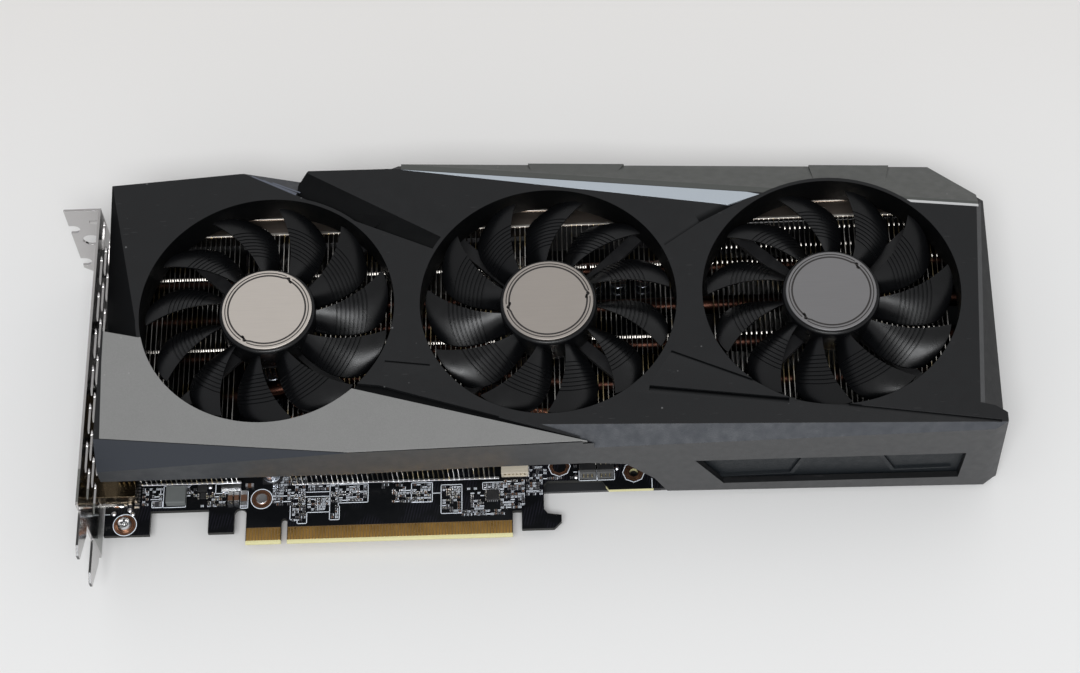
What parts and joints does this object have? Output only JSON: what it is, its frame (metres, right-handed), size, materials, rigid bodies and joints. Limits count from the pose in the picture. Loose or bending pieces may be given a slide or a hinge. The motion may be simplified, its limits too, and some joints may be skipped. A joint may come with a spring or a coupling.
{
  "type": "graphics card",
  "caption": "Desktop graphics card: faceted shroud with round fan openings over a finned heatsink, circuit board with edge connector, backplate and two-slot bracket.",
  "frame": {"origin": "middle of the footprint, on the surface the card lies on (underside of the backplate)", "axes": "+X along the card away from the bracket, +Y from the edge connector to the top edge, +Z out of the fans"},
  "size_m": [0.2952, 0.1326, 0.041],
  "materials": {
    "shroud_plastic": "fine moulded grain",
    "panel_paint": "satin metallic paint",
    "pale_trim": "satin metallic paint",
    "top_trim": "satin",
    "grille": "satin",
    "backplate": "satin",
    "solder_mask": "black solder mask",
    "gold": "plated",
    "package": "laminate",
    "silicon": "polished",
    "chip_resin": "moulded",
    "thermal_pad": "soft",
    "fin_aluminium": "stamped",
    "ferrite": "pressed powder",
    "can_black": "sleeved",
    "ceramic": "glazed",
    "can_steel": "tinned can",
    "header_plastic": "moulded",
    "screw_steel": "plated",
    "socket_gold": "plated",
    "socket_steel": "plated",
    "black_plastic": "moulded",
    "pin_tin": "plated",
    "nickel": "nickel plated",
    "copper": "copper",
    "lead_jacket": "flat lead",
    "winding": "enamelled wire on laminations",
    "bronze": "sintered",
    "blade_plastic": "gloss with ribs",
    "magnet": "bonded",
    "badge_metal": "brushed"
  },
  "bodies": {
    "card": {"shroud": "shroud_plastic", "front_panel": "panel_paint", "pale_trim": "pale_trim", "top_trim": "top_trim", "side_grille": "grille", "backplate": "backplate", "circuit_board": "solder_mask", "edge_contacts": "gold", "gpu_package": "package", "gpu_die": "silicon", "memory_chips": "chip_resin", "memory_pads": "thermal_pad", "memory_plate": "fin_aluminium", "power_stages": "chip_resin", "power_pads": "thermal_pad", "power_plate": "fin_aluminium", "power_chokes": "ferrite", "can_capacitors": "can_black", "chip_capacitors": "ceramic", "front_choke": "ferrite", "clock_crystal": "can_steel", "fan_headers": "header_plastic", "board_screws": "screw_steel", "hdmi_sockets": "socket_gold", "displayport_sockets": "socket_steel", "socket_tongues": "black_plastic", "power_socket_8": "black_plastic", "power_socket_6": "black_plastic", "power_pins": "pin_tin", "bracket": "nickel", "bracket_screws": "screw_steel", "fin_stack_left": "fin_aluminium", "fin_stack_right": "fin_aluminium", "heat_pipes": "copper", "cold_plate": "copper", "spring_screws": "screw_steel", "screw_springs": "screw_steel", "fan_screws": "screw_steel", "fan_leads": "lead_jacket", "fan_base_1": "black_plastic", "fan_base_2": "black_plastic", "fan_base_3": "black_plastic", "stator_1": "winding", "stator_2": "winding", "stator_3": "winding", "bearing_1": "bronze", "bearing_2": "bronze", "bearing_3": "bronze"},
    "fan_1": {"rotor_1": "blade_plastic", "magnet_1": "magnet", "shaft_1": "screw_steel", "badge_1": "badge_metal"},
    "fan_2": {"rotor_2": "blade_plastic", "magnet_2": "magnet", "shaft_2": "screw_steel", "badge_2": "badge_metal"},
    "fan_3": {"rotor_3": "blade_plastic", "magnet_3": "magnet", "shaft_3": "screw_steel", "badge_3": "badge_metal"}
  },
  "joints": [
    {"name": "fan_1_spin", "type": "hinge", "parent": "card", "child": "fan_1", "pos_m": [-0.0803, 0.0141, 0.035], "axis": [0, 0, 1], "continuous": true},
    {"name": "fan_2_spin", "type": "hinge", "parent": "card", "child": "fan_2", "pos_m": [0.0084, 0.0141, 0.035], "axis": [0, 0, -1], "continuous": true},
    {"name": "fan_3_spin", "type": "hinge", "parent": "card", "child": "fan_3", "pos_m": [0.0971, 0.0141, 0.035], "axis": [0, 0, 1], "continuous": true}
  ]
}
